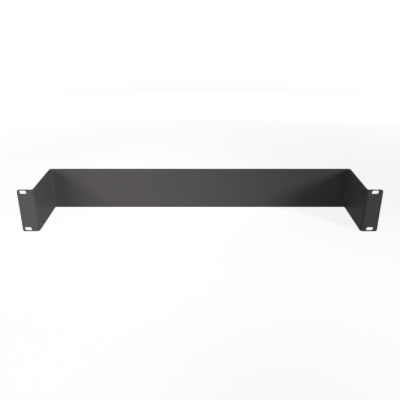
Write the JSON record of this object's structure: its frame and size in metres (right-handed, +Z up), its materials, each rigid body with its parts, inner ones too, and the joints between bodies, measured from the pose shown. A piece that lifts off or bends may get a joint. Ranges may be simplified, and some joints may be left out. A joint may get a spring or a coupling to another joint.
{
  "type": "vertical wall mount rack bracket",
  "caption": "Folded sheet-steel rack bracket, hat-shaped in plan, with a recessed web between side walls and slotted ears that screw to rack rails or to equipment.",
  "frame": {"origin": "middle of the base: midway between the ear ends, midway between the ear fronts and the web's rear face, at the lower edge of the sheet", "axes": "+X along the width, +Y from the ears back to the web, +Z up the height of the sheet"},
  "size_m": [0.4826, 0.0816, 0.061],
  "materials": {
    "powder_coat": "satin charcoal powder coat"
  },
  "bodies": {
    "root": {"bracket": "powder_coat"}
  },
  "joints": []
}
